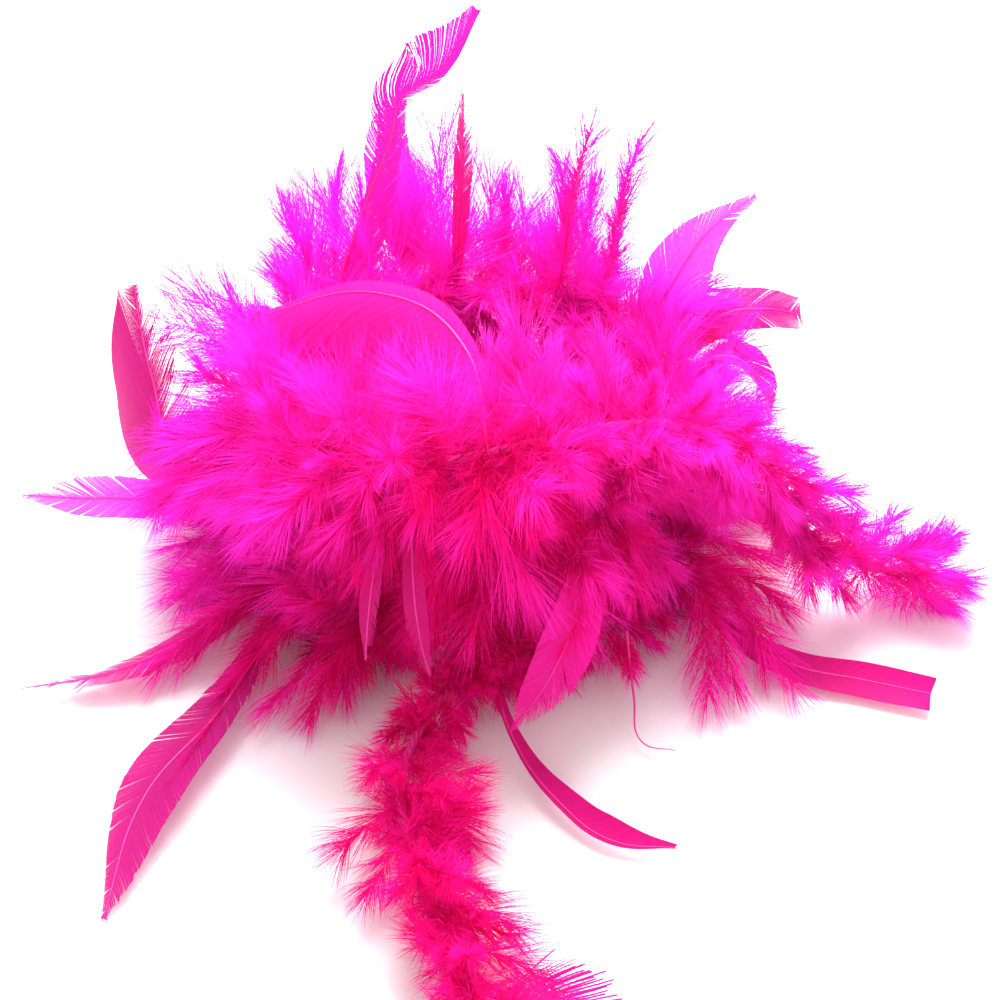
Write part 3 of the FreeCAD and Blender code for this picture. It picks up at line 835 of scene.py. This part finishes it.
# name: quill points, direction across, half widths each side, fraying each side, cup, roll at the
# root and the tip in degrees, finish, share of its length that is downy
FEATHERS = {
    "crest": ([(-64, 52, 90), (-58, 50, 124), (-48, 60, 152), (-38, 72, 174), (-34, 80, 188),
               (-18, 88, 196), (0, 97, 224)], (0.75, 0.25, -0.6),
              ([1, 0.5, 1, 8, 25, 1.5], [9, 20, 15, 5, 4, 1]),
              ((0, 0, 0, 0.3, 0.1, 0), (0.2, 0.1, 0.2, 0.5, 0, 0)), 0.2, (0, 0), SATIN, 0.2),
    "crest_edge": ([(-12, 66, 86), (-10, 60, 124), (-8, 64, 160), (-7, 74, 197)],
                   (0.1, -0.75, 0.65),
                   (even(14, 0.65), even(16, 0.65)), (LITTLE, TIP), 0.1, (24, 30), SATIN_PAINTED_SHADE, 0.3),
    "plume_tall": ([(32, 62, 80), (37, 58, 126), (41, 64, 156), (50, 80, 187)], (0.9, 0.1, -0.3),
                   (even(13, 0.45), even(10, 0.45)), (LOOSE, LOOSE), 0.3, (0, 30), SATIN, 0.9),
    "plume_side": ([(52, 60, 80), (57, 62, 116), (62, 74, 144), (69, 86, 162)], (0.85, 0.0, -0.5),
                   (even(11, 0.45), even(8, 0.45)), (LOOSE, LOOSE), 0.3, (0, -30), SATIN, 1.0),
    "folded": ([(68, 48, 80), (82, 50, 108), (99, 63, 130), (120, 77, 139)], (0.7, -0.35, -0.6),
               ([1, 10, 15, 12, 5, 0.6], [2, 15, 17, 12, 6, 0.5]), (LITTLE, LITTLE), 0.5, (0, 10),
               SATIN_PALE, 0.3),
    "broken_tip": ([(78, 28, 78), (104, 42, 99), (124, 47, 99), (141, 51, 92)], (0.2, -0.6, 0.75),
                   ([1, 6, 10, 12, 11, 8], [1, 6, 9, 10, 9, 7]), (LITTLE, LITTLE), 0.2, (60, 75),
                   SATIN_PAINTED_SHADE, 0.5),
    "shoulder": ([(84, 18, 78), (106, 22, 94), (121, 14, 86), (125, 2, 72)], (0.3, 0.75, -0.2),
                 (even(22, 0.6), even(22, 0.6)), (LITTLE, LITTLE), 0.6, (0, 0), SATIN, 0.4),
    "strap": ([(88, -42, 24), (108, -66, 14), (134, -80, 8), (164, -87, 6), (193, -96, 7)],
              (0.35, 0.85, 0.25), ([1, 4, 6, 8, 9, 8], [1, 4, 6, 7, 8, 7]),
              (NONE, NONE), 0.5, (0, 15), SATIN_PAINTED_SHADE, 0.3),
    "curl": ([(4, -92, 24), (14, -126, 13), (34, -158, 8), (54, -175, 6), (81, -179, 6)],
             (0.8, 0.55, 0.1), ([1, 1, 1.5, 2, 2, 0.3], [1, 3, 5, 8, 10, 0.5]), (NONE, NONE), 0.6,
             (0, 25), SATIN_PAINTED_SHADE, 0.15),
    "web": ([(46, -64, 76), (42, -98, 70), (30, -124, 52), (13, -138, 31)], (0.9, -0.1, -0.35),
            (even(24, 0.6), even(24, 0.6)), (LITTLE, TIP), 0.4, (0, 0), SATIN, 0.6),
    "bare_quill": ([(62, -80, 30), (65, -104, 14), (68, -121, 5), (82, -126, 5)], (0.9, 0.3, 0.2),
                   (NONE, NONE), (NONE, NONE), 0, (0, 0), SATIN, 0.3),
    "tail_end": ([(2, -266, 22), (22, -270, 18), (42, -280, 13), (62, -296, 9)], (0.5, 0.8, 0.1),
                 ([1, 6, 8, 8, 5, 1], [2, 18, 26, 24, 14, 2]), (LOOSE, LOOSE), 0.3, (0, 0),
                 SATIN, 0.9),
    "point_front": ([(-84, -52, 22), (-108, -106, 12), (-138, -152, 8), (-151, -216, 5)],
                    (0.88, -0.4, 0.1), ([2, 7, 12, 13, 6, 0.4], [2, 6, 10, 20, 14, 0.4]),
                    (LITTLE, LITTLE), 0.35, (0, 0), SATIN_PAINTED_DEEP_SHADE, 0.65),
    "point_left": ([(-86, -40, 24), (-120, -67, 16), (-158, -86, 10), (-196, -93, 7)],
                   (0.3, 0.9, 0.2), (even(20, 0.4), even(20, 0.4)), (TIP, TIP), 0.5, (10, 40),
                   SATIN_PAINTED_SHADE, 0.35),
    "edge_left": ([(-86, -6, 80), (-124, -22, 55), (-162, -22, 51), (-199, -19, 50)],
                  (0.0, -0.7, 0.7), (even(22, 0.75), even(22, 0.75)), (LITTLE, TIP), 0.2, (68, 55),
                  SATIN_PALE, 0.5),
    "fan_left": ([(-100, -16, 66), (-126, -14, 64), (-142, 15, 90), (-150, 44, 117)],
                 (0.75, -0.4, 0.4), ([2, 36, 38, 36, 25, 9], [2, 10, 14, 15, 12, 6]),
                 ((0, 0, 0, 0, 0.1, 0.6), (0.3, 0.3, 0.4, 0.5, 0.7, 0.9)), 0.2, (0, 0), SATIN_PAINTED_DEEP_SHADE,
                 0.5),
    "broad": ([(4, -72, 126), (-6, -34, 150), (-42, 4, 146), (-99, 22, 116)], (0.55, 0.75, 0.35),
              ([4, 26, 36, 35, 21, 2], [1, 4, 6, 6, 4, 1]), (LITTLE, LITTLE), 0.35, (-14, -10),
              SATIN, 0.2),
    "curl_small_a": ([(-38, -68, 112), (-42, -104, 98), (-45, -122, 80), (-46, -131, 67)],
                     (0.95, 0.0, 0.3), (even(10, 0.7), even(10, 0.7)), (NONE, TIP), 0.6, (0, 30),
                     SATIN_PAINTED_SHADE, 0.5),
    "curl_small_b": ([(-26, -68, 112), (-27, -106, 94), (-24, -124, 72), (-20, -132, 58)],
                     (0.95, 0.1, 0.25), (even(10, 0.7), even(10, 0.7)), (TIP, NONE), 0.6, (0, -30),
                     SATIN_PAINTED_SHADE, 0.3),
    "back_tall": ([(-28, 72, 82), (-36, 98, 118), (-40, 120, 138), (-34, 140, 148)],
                  (0.9, 0.2, -0.3), (even(28, 0.55), even(28, 0.55)), (TIP, LITTLE), 0.4, (0, 20),
                  SATIN, 0.4),
    "back_low": ([(30, 80, 28), (42, 112, 22), (52, 136, 14), (70, 153, 8)], (0.8, -0.5, 0.1),
                 (even(24, 0.6), even(24, 0.6)), (LITTLE, TIP), 0.5, (0, 0), SATIN, 0.4),
    "back_left": ([(-58, 66, 28), (-92, 98, 34), (-112, 122, 24), (-126, 146, 11)],
                  (0.6, 0.6, 0.2), (even(30, 0.5), even(30, 0.5)), (TIP, TIP), 0.4, (0, -20),
                  SATIN, 0.4),
}


# %% Directions on a vane
def frame_along(line, across, roll, shares):
    """Points of the quill, and the directions across and up from its vane, at shares of it."""
    point, ahead = at_shares(line, np.clip(shares, 0, 0.999))
    flat = unit(across - ahead * (ahead @ across)[..., None])
    up = np.cross(ahead, flat)
    turn = np.radians(roll[0] + (roll[1] - roll[0]) * shares)[..., None]
    return (point, flat * np.cos(turn) + up * np.sin(turn),
            up * np.cos(turn) - flat * np.sin(turn))


# %% Outline of a vane
BUNDLE = 0.7  # millimetres of quill that one strip of barbs takes
VANE_START = 0.10
SWEEP = 1.15  # how far a barb runs along the quill, as a share of how far it runs out
SMOOTHED_OVER = 17  # of the 101 places at which the half widths are read


def outline(halves, length):
    """Where each strip starts and ends along the quill, and how far out it reaches."""
    strips = max(8, int(length * (1 - VANE_START) / BUNDLE))
    root = np.linspace(VANE_START, 0.99, strips + 1)
    grid = np.linspace(0, 1, 101)
    widths = np.pad(np.interp(grid, STATIONS, halves), SMOOTHED_OVER // 2, mode="edge")
    smooth = np.convolve(widths, np.ones(SMOOTHED_OVER) / SMOOTHED_OVER, mode="valid")
    edge = np.minimum(1.0, root + SWEEP * np.interp(root, grid, smooth) / length)
    return root, edge, np.interp(edge, grid, smooth)


# %% Vane of strips
STRIP_ROWS = 7
SPLIT_CHANCE = 0.14  # that a strip is the first of a new group
GATHERED = 0.45  # how far a frayed group is drawn to its middle
POINTED = 0.85  # how far a frayed strip narrows


def vane(rng, line, across, roll, halves, fray, cup, side):
    """One side of a feather's vane, as strips."""
    length = distances(line)[-1]
    root, edge, half = outline(halves, length)
    strips = len(root) - 1
    s = np.linspace(0, 1, STRIP_ROWS)
    share = root[:, None] + (edge - root)[:, None] * s[None] ** 1.15
    point, flat, up = frame_along(line, across, roll, share)
    reach = half[:, None] * s[None]
    sheet = point + side * flat * reach[..., None] + up * (cup * reach ** 2 / 20)[..., None]
    low, high = sheet[:-1], sheet[1:]
    middle = (low + high) / 2

    loose = np.interp((root[:-1] + root[1:]) / 2, STATIONS, fray)
    outer = s[None, :, None] ** 1.4
    fray_here = loose[:, None, None]
    gather = GATHERED * fray_here * outer
    narrow = (1 - POINTED * fray_here ** 1.5 * outer - gather).clip(0.1)
    group = np.cumsum(rng.random(strips) < SPLIT_CHANCE)
    hearts = {g: middle[group == g].mean(0) for g in np.unique(group)}
    heart = np.array([hearts[g] for g in group])
    stray = (rng.normal(0, 1, (group.max() + 1, 3))[group]
             + rng.normal(0, 0.4, (strips, 3)) * loose[:, None])
    amount = (half[:-1] * 0.14 + 0.8) * loose
    stretch = (rng.uniform(-0.25, 0.12, strips) * loose)[:, None, None]
    bend = (stray[:, None] * amount[:, None, None] * (s ** 2)[None, :, None]
            + (middle - middle[:, :1]) * stretch + (heart - middle) * gather)
    low = middle + (low - middle) * narrow + bend
    high = middle + (high - middle) * narrow + bend

    vertices = np.stack([low, high], 2).reshape(-1, 3)
    along = np.stack([root[:-1], root[1:]], -1) * length
    uv = np.stack(np.broadcast_arrays(
        reach[:-1, :, None], along[:, None, :]), -1).reshape(-1, 2)
    first = (np.arange(strips)[:, None] * STRIP_ROWS + np.arange(STRIP_ROWS - 1)).ravel() * 2
    corner = [first, first + 1, first + 3, first + 2]
    quads = np.stack(corner if side > 0 else corner[::-1], -1)
    return above_floor(vertices), quads, np.zeros((0, 3), int), uv


# %% One long feather
QUILL_STEPS = 40
QUILL_SIDES = 8
QUILL_RADII = (0.75, 0.18)
FOOT_HAIRS = 190
FIRST_FEATHER_SEED = 300


def foot_down(rng, line, downy):
    """Down along the first part of a quill."""
    pieces = max(1, int(downy * 4))
    starts = np.linspace(0, downy, pieces + 1)
    root, first = at_shares(line, starts[:-1])
    _, last = at_shares(line, np.clip(starts[1:], 0, 0.98))
    reach = np.full(pieces, distances(line)[-1] * downy / pieces)
    hairs = np.full(pieces, 15.0 if downy < 0.8 else 30.0)
    return grow(rng, root, first, last, reach, hairs, FOOT_HAIRS, groups=5, open_out=0.75)


def long_feather(name, seed):
    points, across, halves, fray, cup, roll, finish, downy = FEATHERS[name]
    rng = np.random.default_rng(seed)
    line = smooth_line(HEAP + np.array(points, float), "BEZIER")
    across = unit(np.array(across))
    shape = Gather()
    for half, loose, side in zip(halves, fray, (-1, 1)):
        if max(half) > 0:
            shape.add(finish, *vane(rng, line, across, roll, half, loose, cup, side))
    shaft, _ = at_shares(line, np.linspace(0, 1, QUILL_STEPS))
    radii = np.linspace(*QUILL_RADII, QUILL_STEPS)
    shape.add(QUILL, *tube(above_floor(shaft), radii, QUILL_SIDES))
    shape.add(DOWN, *ribbons(*foot_down(rng, line, downy)))
    piece = shape.build("plume_" + name)
    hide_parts("feather_" + name)
    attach(piece, "front_tip" if name == "tail_end" else "heap")
    return piece


# %% Build the long feathers
for index, name in enumerate(FEATHERS):
    made = long_feather(name, FIRST_FEATHER_SEED + index)
    print("%-16s %d faces" % (name, len(made.data.polygons)))
